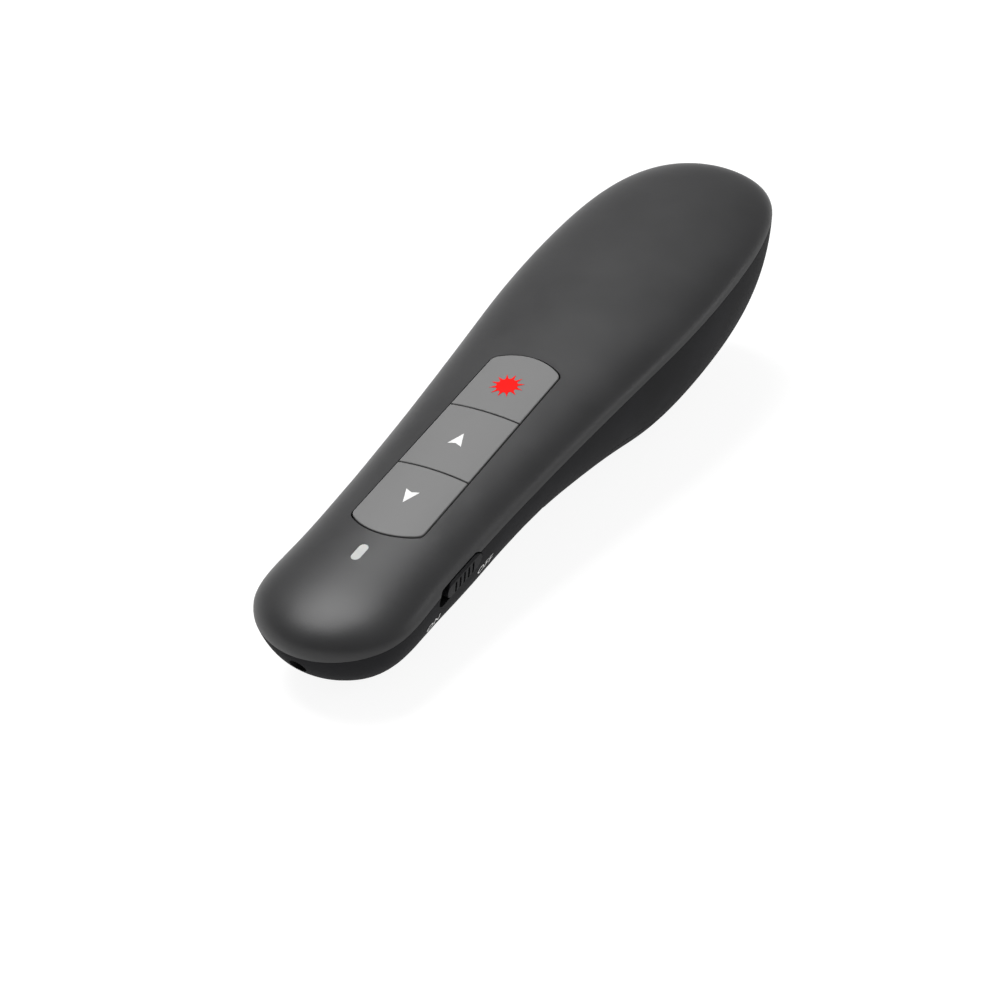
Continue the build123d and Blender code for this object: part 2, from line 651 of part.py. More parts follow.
receiver_y = (RECEIVER_FRONT_Y, RECEIVER_FRONT_Y + RECEIVER_LENGTH)
plug_y = (RECEIVER_FRONT_Y - PLUG_LENGTH, RECEIVER_FRONT_Y)
cradle_x = RECEIVER_WIDTH / 2 + COVER_GAP
with BuildPart() as cradle:
    # Cross ribs under the plug and the cap, and a stop in front of the plug
    plug_rib_y = plug_y[0] + 2 * CRADLE_RIB
    cap_rib_y = receiver_y[0] + 2 * CRADLE_RIB
    plug_half = PLUG_WIDTH / 2
    add(block(
        (-plug_half, plug_half),
        (plug_rib_y, plug_rib_y + CRADLE_RIB),
        (-FAR, RECEIVER_Z - PLUG_HEIGHT / 2),
    ))
    add(block(
        (-plug_half, plug_half),
        (cap_rib_y, cap_rib_y + CRADLE_RIB),
        (-FAR, RECEIVER_Z - RECEIVER_HEIGHT / 2),
    ))
    add(block(
        (-plug_half, plug_half),
        (plug_y[0] - COVER_GAP - CRADLE_RIB, plug_y[0] - COVER_GAP),
        (-FAR, RECEIVER_Z),
    ))
    for side in (-1, 1):
        rail_x = sorted((side * cradle_x, side * (cradle_x + CRADLE_RIB)))
        add(block(rail_x, receiver_y, (-FAR, RECEIVER_Z)))
    add(hull_liner, mode=Mode.INTERSECT)

with BuildPart() as grip:
    for i in range(GRIP_GROOVES):
        y = GRIP_GROOVE_Y + i * GRIP_GROOVE_PITCH
        half = GRIP_GROOVE_WIDTH / 2
        groove_x = (-GRIP_GROOVE_LENGTH / 2, GRIP_GROOVE_LENGTH / 2)
        add(block(groove_x, (y - half, y + half), (-FAR, 0)))
    add(grip_floor, mode=Mode.SUBTRACT)

with BuildPart() as battery_cover:
    add(hull_skin)
    add(hull_cavity, mode=Mode.SUBTRACT)
    add(cover_region(COVER_GAP), mode=Mode.INTERSECT)
    add(grip.part, mode=Mode.SUBTRACT)
    add(hook_roots.part)
    add(hooks.part)
    add(cradle.part)
    # The cover's front edge slides along under the two cells
    for x in (-CELL_X, CELL_X):
        cell_way = rod(x, BULKHEAD_Y, CELL_Z, CELL_RADIUS + CELL_SIDE_GAP, TAB_Y - BULKHEAD_Y, REARWARD)
        add(cell_way, mode=Mode.SUBTRACT)
battery_cover.part.label = "battery_cover"

# ---------------------------------------------------------------------------------------
# Thumb keys, each a crowned cap with a hidden flange and a plunger
# ---------------------------------------------------------------------------------------
key_skin = body_half(1, -KEY_PROUD)
flange_limit = body_half(1, WALL + KEY_LIFT_GAP)


def thumb_key(index, name):
    with BuildPart() as flange:
        add(column(key_plan(index, index, KEY_FLANGE), KEY_UNDERSIDE_Z, FAR))
        add(flange_limit, mode=Mode.INTERSECT)
    with BuildPart() as key:
        add(column(key_plan(index, index, 0), KEY_UNDERSIDE_Z, FAR))
        add(key_skin, mode=Mode.INTERSECT)
        top = key.faces().sort_by(Axis.Z)[-1]
        fillet(top.edges(), KEY_EDGE_RADIUS)
        add(flange.part)
        plunger_z = KEY_UNDERSIDE_Z - PLUNGER_LENGTH
        add(rod(0, KEY_CENTRES_Y[index], plunger_z, PLUNGER_RADIUS, 2 * PLUNGER_LENGTH, UP))
    key.part.label = name
    return key


key_names = ["page_down", "page_up", "laser"]
keys = [thumb_key(i, name + "_key") for i, name in enumerate(key_names)]

# ---------------------------------------------------------------------------------------
# Tact switches under the keys
# ---------------------------------------------------------------------------------------
stem_top_z = KEY_UNDERSIDE_Z - PLUNGER_LENGTH
tact_top_z = BOARD_TOP_Z + TACT_HEIGHT
stem_foot_z = tact_top_z - STEM_OVERLAP


def tact_switch(y, name):
    with BuildPart() as body:
        half = TACT_SIZE / 2
        add(block((-half, half), (y - half, y + half), (BOARD_TOP_Z, tact_top_z)))
        chamfer(body.edges().filter_by(Axis.Z), TACT_CORNER)
        well_foot_z = stem_foot_z - KEY_TRAVEL - TACT_WELL_GAP
        well = rod(0, y, well_foot_z, STEM_RADIUS + STEM_CLEARANCE, TACT_HEIGHT, UP)
        add(well, mode=Mode.SUBTRACT)
    body.part.label = name
    return body


def switch_stem(y, name):
    with BuildPart() as stem:
        add(rod(0, y, stem_foot_z, STEM_RADIUS, stem_top_z - stem_foot_z, UP))
    stem.part.label = name
    return stem


tact_switches = []
for y, name in zip(KEY_CENTRES_Y, key_names):
    tact_switches.append(tact_switch(y, name + "_switch"))
    tact_switches.append(switch_stem(y, name + "_stem"))

# ---------------------------------------------------------------------------------------
# Slide switch: body on the board, lever, and the ribbed knob in the side slot
# ---------------------------------------------------------------------------------------
knob_y = SLOT_Y + KNOB_TRAVEL / 2
lever_z = BOARD_TOP_Z + SWITCH_HEIGHT / 2
switch_inner_x = BOARD_HALF_WIDTH - SWITCH_WIDTH
lever_x = (switch_inner_x + SWITCH_WIDTH / 2, KNOB_FLANGE_INNER_X + LEVER_SEAT)
lever_half = LEVER_SIZE / 2
lever_way = lever_half + LEVER_CLEARANCE
with BuildPart() as power_switch:
    switch_y = (SLOT_Y - SWITCH_LENGTH / 2, SLOT_Y + SWITCH_LENGTH / 2)
    switch_z = (BOARD_TOP_Z, BOARD_TOP_Z + SWITCH_HEIGHT)
    add(block((switch_inner_x, BOARD_HALF_WIDTH), switch_y, switch_z))
    lever_slot = block(
        (lever_x[0] - LEVER_CLEARANCE, BOARD_HALF_WIDTH + WALL),
        (SLOT_Y - KNOB_TRAVEL / 2 - lever_way, SLOT_Y + KNOB_TRAVEL / 2 + lever_way),
        (lever_z - lever_way, lever_z + lever_way),
    )
    add(lever_slot, mode=Mode.SUBTRACT)
power_switch.part.label = "power_switch"

lever_bar = block(
    lever_x,
    (knob_y - lever_half, knob_y + lever_half),
    (lever_z - lever_half, lever_z + lever_half),
)
with BuildPart() as power_switch_lever:
    add(lever_bar)
power_switch_lever.part.label = "power_switch_lever"

with BuildPart() as knob_skin:
    add(body_half(1, -KNOB_PROUD))
    add(body_half(-1, -KNOB_PROUD))
with BuildPart() as knob_grooves:
    for i in range(KNOB_RIBS):
        y = knob_y + (i - (KNOB_RIBS - 1) / 2) * KNOB_RIB_PITCH
        half = KNOB_GROOVE_WIDTH / 2
        add(block((KNOB_FLANGE_INNER_X, FAR), (y - half, y + half), (-FAR, KNOB_GROOVE_TOP_Z)))
    add(body_half(1, KNOB_GROOVE_DEPTH - KNOB_PROUD), mode=Mode.SUBTRACT)
    add(body_half(-1, KNOB_GROOVE_DEPTH - KNOB_PROUD), mode=Mode.SUBTRACT)
with BuildPart() as slide_knob:
    knob_plane = Plane(origin=(KNOB_FLANGE_INNER_X, knob_y, SLOT_Z), x_dir=(0, 1, 0), z_dir=(1, 0, 0))
    with BuildSketch(knob_plane):
        SlotOverall(KNOB_LENGTH, SLOT_HEIGHT - 2 * KNOB_CLEARANCE)
    extrude(amount=FAR)
    add(knob_skin.part, mode=Mode.INTERSECT)
    add(knob_grooves.part, mode=Mode.SUBTRACT)
    with BuildSketch(knob_plane):
        flange_length = SLOT_LENGTH + KNOB_TRAVEL + 2 * KNOB_FLANGE_OVERLAP
        Rectangle(flange_length, 2 * flange_half_height)
    extrude(amount=KNOB_FLANGE_THICKNESS)
    add(lever_bar, mode=Mode.SUBTRACT)
slide_knob.part.label = "slide_knob"

# ---------------------------------------------------------------------------------------
# Laser module on the nose axis
# ---------------------------------------------------------------------------------------
barrel_rear_y = BARREL_FRONT_Y + BARREL_LENGTH
diode_front_y = barrel_rear_y - DIODE_FLANGE
with BuildPart() as laser_barrel:
    add(rod(0, BARREL_FRONT_Y, LASER_Z, BARREL_RADIUS, BARREL_LENGTH, REARWARD))
    bore = rod(0, BARREL_FRONT_Y, LASER_Z, LENS_RADIUS + MODULE_CLEARANCE, BARREL_LENGTH, REARWARD)
    add(bore, mode=Mode.SUBTRACT)
    seat = rod(0, diode_front_y, LASER_Z, DIODE_RADIUS + MODULE_CLEARANCE, DIODE_FLANGE, REARWARD)
    add(seat, mode=Mode.SUBTRACT)
laser_barrel.part.label = "laser_barrel"

lens_y = BARREL_FRONT_Y + LENS_INSET + LENS_BULGE
with BuildPart() as laser_lens:
    with BuildSketch(Plane.XY.offset(LASER_Z)):
        with BuildLine():
            ThreePointArc(
                (-LENS_RADIUS, lens_y),
                (0, lens_y - LENS_BULGE),
                (LENS_RADIUS, lens_y),
            )
            Polyline(
                (LENS_RADIUS, lens_y),
                (LENS_RADIUS, lens_y + LENS_EDGE),
                (-LENS_RADIUS, lens_y + LENS_EDGE),
                (-LENS_RADIUS, lens_y),
            )
        make_face()
        split(bisect_by=Plane.YZ, keep=Keep.TOP)
    revolve(axis=Axis((0, 0, LASER_Z), REARWARD))
laser_lens.part.label = "laser_lens"

with BuildPart() as laser_diode:
    can_front_y = diode_front_y - DIODE_CAN_LENGTH
    add(rod(0, diode_front_y, LASER_Z, DIODE_RADIUS, DIODE_FLANGE, REARWARD))
    add(rod(0, can_front_y, LASER_Z, DIODE_CAN_RADIUS, DIODE_CAN_LENGTH, REARWARD))
    # The two pins straddle the board and are soldered to its faces
    top_pin_z = BOARD_TOP_Z + DIODE_PIN_RADIUS
    bottom_pin_z = BOARD_BOTTOM_Z - DIODE_PIN_RADIUS
    for x, z in ((DIODE_PIN_X, top_pin_z), (-DIODE_PIN_X, bottom_pin_z)):
        add(rod(x, barrel_rear_y, z, DIODE_PIN_RADIUS, DIODE_PIN_LENGTH, REARWARD))
laser_diode.part.label = "laser_diode"

# ---------------------------------------------------------------------------------------
# Circuit board and its small parts
# ---------------------------------------------------------------------------------------
with BuildPart() as circuit_board:
    with BuildSketch(Plane.XY.offset(BOARD_BOTTOM_Z)):
        with Locations((0, (BOARD_FRONT_Y + BOARD_REAR_Y) / 2)):
            RectangleRounded(
                2 * BOARD_HALF_WIDTH, BOARD_REAR_Y - BOARD_FRONT_Y, BOARD_CORNER_RADIUS
            )
        with Locations((0, BOARD_FRONT_Y)):
            notch_length = 2 * (barrel_rear_y + BOSS_GAP - BOARD_FRONT_Y)
            notch_half_width = BARREL_RADIUS + CRADLE_RIB + BOSS_GAP
            Rectangle(2 * notch_half_width, notch_length, mode=Mode.SUBTRACT)
        with Locations(*[(x, y) for x, y, seat in neck_screws]):
            Circle(post_radius + BOSS_GAP, mode=Mode.SUBTRACT)
        with Locations(*[(x, y) for x, y, seat in board_screws_at]):
            Circle(BOARD_SCREW_RADIUS + SCREW_GAP, mode=Mode.SUBTRACT)
    extrude(amount=BOARD_THICKNESS)
circuit_board.part.label = "circuit_board"


def on_board(x, y, size, face):
    """Block of the given size on the board's top (face 1) or underside (face -1)."""
    z = (BOARD_TOP_Z, BOARD_TOP_Z + size[2])
    if face < 0:
        z = (BOARD_BOTTOM_Z - size[2], BOARD_BOTTOM_Z)
    return block((x - size[0] / 2, x + size[0] / 2), (y - size[1] / 2, y + size[1] / 2), z)


with BuildPart() as radio_chip:
    add(on_board(0, CHIP_Y, CHIP_SIZE, -1))
radio_chip.part.label = "radio_chip"

with BuildPart() as crystal:
    add(on_board(0, CRYSTAL_Y, CRYSTAL_SIZE, -1))
crystal.part.label = "crystal"

with BuildPart() as capacitors:
    for i in range(CAPACITOR_COUNT):
        x = (i - (CAPACITOR_COUNT - 1) / 2) * CAPACITOR_PITCH
        add(on_board(x, CAPACITOR_Y, CAPACITOR_SIZE, -1))
capacitors.part.label = "capacitors"

with BuildPart() as status_led:
    add(on_board(0, LED_Y, LED_SIZE, 1))
status_led.part.label = "status_led"

with BuildPart() as pipe_flange:
    with BuildSketch(Plane.XY.offset(BOARD_TOP_Z + LED_SIZE[2] + LIGHT_GAP)):
        with Locations((0, LED_Y)):
            SlotOverall(
                WINDOW_LENGTH + 2 * WINDOW_FLANGE, WINDOW_WIDTH + 2 * WINDOW_FLANGE, rotation=90
            )
    extrude(amount=FAR)
    add(body_half(1, WALL + WINDOW_CLEARANCE), mode=Mode.INTERSECT)
    floor_z = CROWN_HEIGHT - WALL - WINDOW_FLANGE_THICKNESS
    add(block((-FAR, FAR), (0, BODY_LENGTH), (-FAR, floor_z)), mode=Mode.SUBTRACT)
with BuildPart() as light_pipe:
    with BuildSketch():
        with Locations((0, LED_Y)):
            SlotOverall(
                WINDOW_LENGTH - 2 * WINDOW_CLEARANCE, WINDOW_WIDTH - 2 * WINDOW_CLEARANCE, rotation=90
            )
    extrude(amount=FAR)
    extrude(light_pipe.faces().sort_by(Axis.Z)[0], amount=-(BOARD_TOP_Z + LED_SIZE[2] + LIGHT_GAP))
    add(body_half(1, WINDOW_CLEARANCE, WALL), mode=Mode.INTERSECT)
    add(pipe_flange.part)
light_pipe.part.label = "light_pipe"

# ---------------------------------------------------------------------------------------
# Cells, contacts and springs
# ---------------------------------------------------------------------------------------


def cell(x, y, direction, name):
    """AAA cell whose flat end is at y and whose nub points along direction."""
    with BuildPart() as battery:
        can_length = CELL_LENGTH - CELL_NUB_LENGTH
        add(rod(x, y, CELL_Z, CELL_RADIUS, can_length, direction))
        fillet(battery.edges().filter_by(GeomType.CIRCLE), CELL_EDGE_RADIUS)
        add(rod(x, y, CELL_Z, CELL_NUB_RADIUS, CELL_LENGTH, direction))
    battery.part.label = name
    return battery


cell_left = cell(-CELL_X, CELLS_FRONT_Y + SPRING_LENGTH, REARWARD, "cell_left")
cell_right = cell(CELL_X, CELLS_REAR_Y - SPRING_LENGTH, FORWARD, "cell_right")

contact_z = (CELL_Z - contact_half, CELL_Z + contact_half)


def front_contact(x, name):
    """Square plate on the bulkhead with a tab that is soldered to the board's underside."""
    plate_y = (CELLS_FRONT_Y - CONTACT_THICKNESS, CELLS_FRONT_Y)
    tab_x = (x - CONTACT_TAB_WIDTH / 2, x + CONTACT_TAB_WIDTH / 2)
    with BuildPart() as contact:
        add(block((x - contact_half, x + contact_half), plate_y, contact_z))
        add(block(tab_x, (contact_tab_front_y, plate_y[1]), contact_tab_z))
        foot_y = (contact_tab_front_y, contact_tab_front_y + CONTACT_THICKNESS)
        add(block(tab_x, foot_y, (contact_tab_z[0], BOARD_BOTTOM_Z)))
    contact.part.label = name
    return contact


negative_contact = front_contact(-CELL_X, "negative_contact")
positive_contact = front_contact(CELL_X, "positive_contact")

with BuildPart() as bridge_contact:
    plate_x = (-CELL_X - contact_half, CELL_X + contact_half)
    add(block(plate_x, (CELLS_REAR_Y, CELLS_REAR_Y + CONTACT_THICKNESS), contact_z))
bridge_contact.part.label = "bridge_contact"


def coil_spring(x, y, name):
    """Coil spring that starts at y and ends a spring length farther along Y."""
    height = SPRING_LENGTH - 2 * SPRING_WIRE_RADIUS
    with BuildPart() as spring:
        with BuildLine() as coil:
            Helix(
                height / SPRING_TURNS,
                height,
                SPRING_RADIUS,
                center=(x, y + SPRING_WIRE_RADIUS, CELL_Z),
                direction=REARWARD,
            )
        with BuildSketch(Plane(origin=coil.line @ 0, z_dir=coil.line % 0)):
            Circle(SPRING_WIRE_RADIUS)
        sweep()
    spring.part.label = name
    return spring


negative_spring = coil_spring(-CELL_X, CELLS_FRONT_Y, "negative_spring")
bridge_spring = coil_spring(CELL_X, CELLS_REAR_Y - SPRING_LENGTH, "bridge_spring")

# ---------------------------------------------------------------------------------------
# USB receiver
# ---------------------------------------------------------------------------------------


def centred(width, height, y, z=RECEIVER_Z):
    """Box across X and Z about the receiver's axis, between the two ends given in y."""
    return block((-width / 2, width / 2), y, (z - height / 2, z + height / 2))


with BuildPart() as receiver_cap:
    add(centred(RECEIVER_WIDTH, RECEIVER_HEIGHT, receiver_y))
    fillet(receiver_cap.faces().sort_by(Axis.Y)[-1].edges(), RECEIVER_EDGE_RADIUS)
receiver_cap.part.label = "receiver_cap"

plug_inner_width = PLUG_WIDTH - 2 * PLUG_WALL
plug_inner_height = PLUG_HEIGHT - 2 * PLUG_WALL
with BuildPart() as plug_shell:
    add(centred(PLUG_WIDTH, PLUG_HEIGHT, plug_y))
    add(centred(plug_inner_width, plug_inner_height, plug_y), mode=Mode.SUBTRACT)
plug_shell.part.label = "plug_shell"

tongue_z = RECEIVER_Z + (plug_inner_height - TONGUE_BOARD_THICKNESS) / 2
with BuildPart() as plug_tongue:
    add(centred(plug_inner_width, TONGUE_BOARD_THICKNESS, plug_y, tongue_z))
plug_tongue.part.label = "plug_tongue"

with BuildPart() as plug_contacts:
    contact_top_z = tongue_z - TONGUE_BOARD_THICKNESS / 2
    contact_y = (plug_y[0] + CRADLE_RIB, plug_y[0] + CRADLE_RIB + USB_CONTACT_SIZE[1])
    for i in range(USB_CONTACTS):
        x = (i - (USB_CONTACTS - 1) / 2) * USB_CONTACT_PITCH
        half = USB_CONTACT_SIZE[0] / 2
        strip_z = (contact_top_z - USB_CONTACT_SIZE[2], contact_top_z)
        add(block((x - half, x + half), contact_y, strip_z))
plug_contacts.part.label = "plug_contacts"

# ---------------------------------------------------------------------------------------
# Screws
# ---------------------------------------------------------------------------------------


def screw(place, way, radius, length, head_radius, head_height):
    """Screw with a cross recess: its head's flat is at place and its shank runs along way."""
    x, y, z = place
    up = way[2]
    with BuildPart() as fastener:
        add(rod(x, y, z, radius, length, way))
        add(rod(x, y, z - up * head_height, head_radius, head_height, way))
        outer = z - up * head_height
        depth = sorted((outer, outer + up * SCREW_SLOT_DEPTH))
        slot = SCREW_SLOT_WIDTH / 2
        arm = head_radius - slot
        add(block((x - arm, x + arm), (y - slot, y + slot), depth), mode=Mode.SUBTRACT)
        add(block((x - slot, x + slot), (y - arm, y + arm), depth), mode=Mode.SUBTRACT)
    return fastener.part


with BuildPart() as long_case_screws:
    for place in neck_screws:
        add(screw(place, UP, SCREW_RADIUS, NECK_SCREW_LENGTH, SCREW_HEAD_RADIUS, SCREW_HEAD_HEIGHT))
long_case_screws.part.label = "neck_screws"

with BuildPart() as short_case_screws:
    for place in deck_screws:
        add(screw(place, UP, SCREW_RADIUS, DECK_SCREW_LENGTH, SCREW_HEAD_RADIUS, SCREW_HEAD_HEIGHT))
short_case_screws.part.label = "deck_screws"

board_head = (BOARD_SCREW_HEAD_RADIUS, BOARD_SCREW_HEAD_HEIGHT)
with BuildPart() as short_board_screws:
    for place in board_screws_at:
        add(screw(place, DOWN, BOARD_SCREW_RADIUS, BOARD_SCREW_LENGTH, *board_head))
short_board_screws.part.label = "board_screws"

# ---------------------------------------------------------------------------------------
# Set all the pieces down on the table and write them
# ---------------------------------------------------------------------------------------
PIECES = [
    top_cover,
    lower_housing,
    battery_cover,
    *keys,
    *tact_switches,
    power_switch,
    power_switch_lever,
    slide_knob,
    laser_barrel,
    laser_lens,
    laser_diode,
    circuit_board,
    radio_chip,
    crystal,
    capacitors,
    status_led,
    light_pipe,
    cell_left,
    cell_right,
    negative_contact,
    positive_contact,
    bridge_contact,
    negative_spring,
    bridge_spring,
    receiver_cap,
    plug_shell,
    plug_tongue,
    plug_contacts,
    long_case_screws,
    short_case_screws,
    short_board_screws,
]

on_table = TABLE.location.inverse()
outer_box = (on_table * top_cover.part).bounding_box()
for shell in (lower_housing, battery_cover):
    outer_box = outer_box.add((on_table * shell.part).bounding_box())
REST = Pos(0, -(outer_box.min.Y + outer_box.max.Y) / 2, 0) * on_table

os.makedirs("parts", exist_ok=True)
for piece in PIECES:
    resting = REST * piece.part
    resting.label = piece.part.label
    export_step(resting, f"parts/{piece.part.label}.step")
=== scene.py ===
import math
import bmesh
import bpy
from mathutils import Matrix, Vector


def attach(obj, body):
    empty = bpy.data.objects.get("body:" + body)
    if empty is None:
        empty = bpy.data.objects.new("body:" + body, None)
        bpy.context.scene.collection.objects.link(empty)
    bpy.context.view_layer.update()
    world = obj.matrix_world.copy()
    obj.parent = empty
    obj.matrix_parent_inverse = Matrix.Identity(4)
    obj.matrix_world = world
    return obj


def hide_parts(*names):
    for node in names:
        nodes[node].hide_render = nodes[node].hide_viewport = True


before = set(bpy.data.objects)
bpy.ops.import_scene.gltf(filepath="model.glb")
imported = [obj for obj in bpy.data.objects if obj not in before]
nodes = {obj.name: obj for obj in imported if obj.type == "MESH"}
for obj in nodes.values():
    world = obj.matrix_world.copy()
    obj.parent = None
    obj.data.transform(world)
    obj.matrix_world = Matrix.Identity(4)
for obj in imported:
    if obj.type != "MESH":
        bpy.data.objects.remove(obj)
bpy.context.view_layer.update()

# Wireless presentation clicker: finishes, smooth shells, printed marks, studio and camera.
# Sizes are in millimetres until they reach Blender, which works in metres.
MM = 0.001

# The casing's seam lies in a plane that tips up toward the palm end. In the seam frame Y runs
# from the nose tip to the palm end and Z is up from the seam.
SEAM_TILT = math.radians(9.58881)
NOSE_TIP_Y = -61.5444
NOSE_TIP_Z = 9.06382
SEAM_START = Matrix.Translation((0, NOSE_TIP_Y * MM, NOSE_TIP_Z * MM))
SEAM = SEAM_START @ Matrix.Rotation(SEAM_TILT, 4, "X")


# ------------------------------------------------------------------ material tools
# The values of a noise texture lie mostly between these two
NOISE_LOW, NOISE_HIGH = 0.3, 0.7
MOTTLE_DETAIL = 3.0
GRAIN_DETAIL = 2.0
SPOT_SCATTER = 0.35
LANE_STAGGER = 0.37


def linear(code):
    """Linear colour of an sRGB hex code."""
    parts = [int(code[i:i + 2], 16) / 255 for i in (1, 3, 5)]
    return [c / 12.92 if c <= 0.04045 else ((c + 0.055) / 1.055) ** 2.4 for c in parts] + [1.0]


def per(size):
    """Texture scale at which one cell of the pattern is this many millimetres."""
    return 1 / (size * MM)


def add(tree, kind, inputs=None, stops=(), **settings):
    """Adds one node. An input is a value, or the output that feeds it; stops are a ramp's."""
    made = tree.nodes.new(kind)
    for name, value in settings.items():
        setattr(made, name, value)
    for i, (place, colour) in enumerate(stops):
        made.color_ramp.elements[i].position = place
        made.color_ramp.elements[i].color = colour
    for name, value in (inputs or {}).items():
        socket = made.inputs[name]
        if isinstance(value, bpy.types.NodeSocket):
            tree.links.new(value, socket)
        else:
            socket.default_value = value
    return made


def blank(name):
    """A material with no nodes yet, its tree and its Object coordinates in the seam frame."""
    material = bpy.data.materials.new(name)
    material.use_nodes = True
    tree = material.node_tree
    tree.nodes.clear()
    place = add(tree, "ShaderNodeTexCoord").outputs["Object"]
    turned = add(
        tree,
        "ShaderNodeMapping",
        {"Vector": place, "Location": SEAM.translation, "Rotation": (SEAM_TILT, 0, 0)},
        vector_type="TEXTURE",
    )
    return material, tree, turned.outputs["Vector"]


def look(colours, mottle, grain, depth, roughness, **fixed):
    """How one finish looks, kept for shade().

    colours are two hex codes that the mottle moves between; mottle and grain are pattern sizes
    and depth the grain's height, all in mm; roughness is its lowest and highest value. The rest
    are fixed values of the shader.
    """
    return colours, mottle, grain, depth, roughness, fixed


def shade(tree, place, finish):
    """Shader of a finish: mottled colour, fine grain in the relief and uneven gloss."""
    colours, mottle, grain, depth, roughness, fixed = finish
    broad = add(
        tree,
        "ShaderNodeTexNoise",
        {"Vector": place, "Scale": per(mottle), "Detail": MOTTLE_DETAIL},
    )
    fine = add(
        tree,
        "ShaderNodeTexNoise",
        {"Vector": place, "Scale": per(grain), "Detail": GRAIN_DETAIL},
    )
    dark, light = (linear(code) for code in colours)
    mottled = add(
        tree,
        "ShaderNodeValToRGB",
        {"Fac": broad.outputs["Fac"]},
        stops=[(NOISE_LOW, dark), (NOISE_HIGH, light)],
    )
    gloss = add(
        tree,
        "ShaderNodeMapRange",
        {"Value": broad.outputs["Fac"], "From Min": NOISE_LOW, "From Max": NOISE_HIGH,
         "To Min": roughness[0], "To Max": roughness[1]},
    )
    bump = add(
        tree,
        "ShaderNodeBump",
        {"Height": fine.outputs["Fac"], "Distance": depth * MM, "Strength": 1.0},
    )
    inputs = {
        "Base Color": mottled.outputs["Color"],
        "Roughness": gloss.outputs["Result"],
        "Normal": bump.outputs["Normal"],
    }
    inputs.update({key.replace("_", " "): value for key, value in fixed.items()})
    return add(tree, "ShaderNodeBsdfPrincipled", inputs).outputs["BSDF"]


def surface(name, finish, *layers):
    """Material of one finish, with further finishes laid where their masks are 1."""
    material, tree, place = blank(name)
    shader = shade(tree, place, finish)
    for mask, over in layers:
        mixed = add(
            tree,
            "ShaderNodeMixShader",
            {0: mask(tree, place), 1: shader, 2: shade(tree, place, over)},
        )
        shader = mixed.outputs[0]
    add(tree, "ShaderNodeOutputMaterial", {"Surface": shader})
    return material


def band(axis, low, high):
    """Mask of the places between two values of a seam-frame coordinate, in mm."""
    middle = (low + high) / 2 * MM
    half = (high - low) / 2 * MM

    def mask(tree, place):
        along = add(tree, "ShaderNodeSeparateXYZ", {"Vector": place}).outputs[axis]
        within = {0: along, 1: middle, 2: half}
        return add(tree, "ShaderNodeMath", within, operation="COMPARE").outputs[0]

    return mask


def spots(pitch, size):
    """Mask of round spots of this size at about this pitch, in mm."""

    def mask(tree, place):
        cells = add(
            tree,
            "ShaderNodeTexVoronoi",
            {"Vector": place, "Scale": per(pitch), "Randomness": SPOT_SCATTER},
        )
        near = {0: cells.outputs["Distance"], 1: size / 2 / pitch}
        return add(tree, "ShaderNodeMath", near, operation="LESS_THAN").outputs[0]

    return mask


def lanes(width, length, line):
    """Mask of thin lines that run between staggered oblongs, in mm."""

    def mask(tree, place):
        laid = {"Vector": place, "Scale": 1 / MM, "Mortar Size": line / 2, "Mortar Smooth": 0.0,
                "Brick Width": length, "Row Height": width}
        return add(tree, "ShaderNodeTexBrick", laid, offset=LANE_STAGGER).outputs["Fac"]

    return mask


# ------------------------------------------------------------------ materials
# The pebble of the plastics, about 0.1 mm in reality, is drawn at 0.2 to 0.3 mm so that it shows.

# ABS with a soft-touch lacquer: charcoal black, dull, with a fine even pebble
soft_black = surface("soft_touch_black_abs", look(
    ("#2c2c2d", "#303031"), mottle=9.0, grain=0.3, depth=0.006, roughness=(0.38, 0.43), IOR=1.48))
# The lower shell and the battery cover carry a rubber coat for the fingers, which makes them
# duller; their colour is painted a shade darker than the top's, as painted shade on these
# downward-facing faces
rubber_black_painted_shade = surface("rubber_coated_black_abs_painted_shade", look(
    ("#28282a", "#2c2c2d"), mottle=7.0, grain=0.3, depth=0.006, roughness=(0.66, 0.74), IOR=1.4,
    Specular_IOR_Level=0.05))
# Bare spark-eroded ABS: the slider and the receiver's cap, near black and dull
knob_black = surface("moulded_black_abs", look(
    ("#18181a", "#1c1c1e"), mottle=3.0, grain=0.25, depth=0.006, roughness=(0.54, 0.6), IOR=1.4,
    Specular_IOR_Level=0.14))
# Keys in grey lacquered ABS: even and matte, with almost no grain
key_grey = surface("grey_lacquered_abs", look(
    ("#7c7c7c", "#7f7f7f"), mottle=7.0, grain=0.2, depth=0.003, roughness=(0.5, 0.58), IOR=1.42))
# Milky polycarbonate of the light pipe: pale, smooth, and light sinks in a little
milky = surface("milky_polycarbonate", look(
    ("#c2c2c1", "#cbcbc9"), mottle=2.0, grain=0.15, depth=0.001, roughness=(0.3, 0.36), IOR=1.58,
    Subsurface_Weight=0.3, Subsurface_Scale=0.0008))
# Pad-printed inks: a dull film with faintly uneven pigment
white_ink = surface("white_pad_ink", look(
    ("#f6f6f5", "#fdfdfc"), mottle=0.6, grain=0.12, depth=0.001, roughness=(0.5, 0.6), IOR=1.45))
red_ink = surface("red_pad_ink", look(
    ("#fa0703", "#ff120a"), mottle=0.7, grain=0.12, depth=0.001, roughness=(0.5, 0.6), IOR=1.4,
    Specular_IOR_Level=0.15))
pale_ink = surface("grey_pad_ink", look(
    ("#8f8f8f", "#989898"), mottle=0.6, grain=0.12, depth=0.001, roughness=(0.5, 0.6), IOR=1.45))

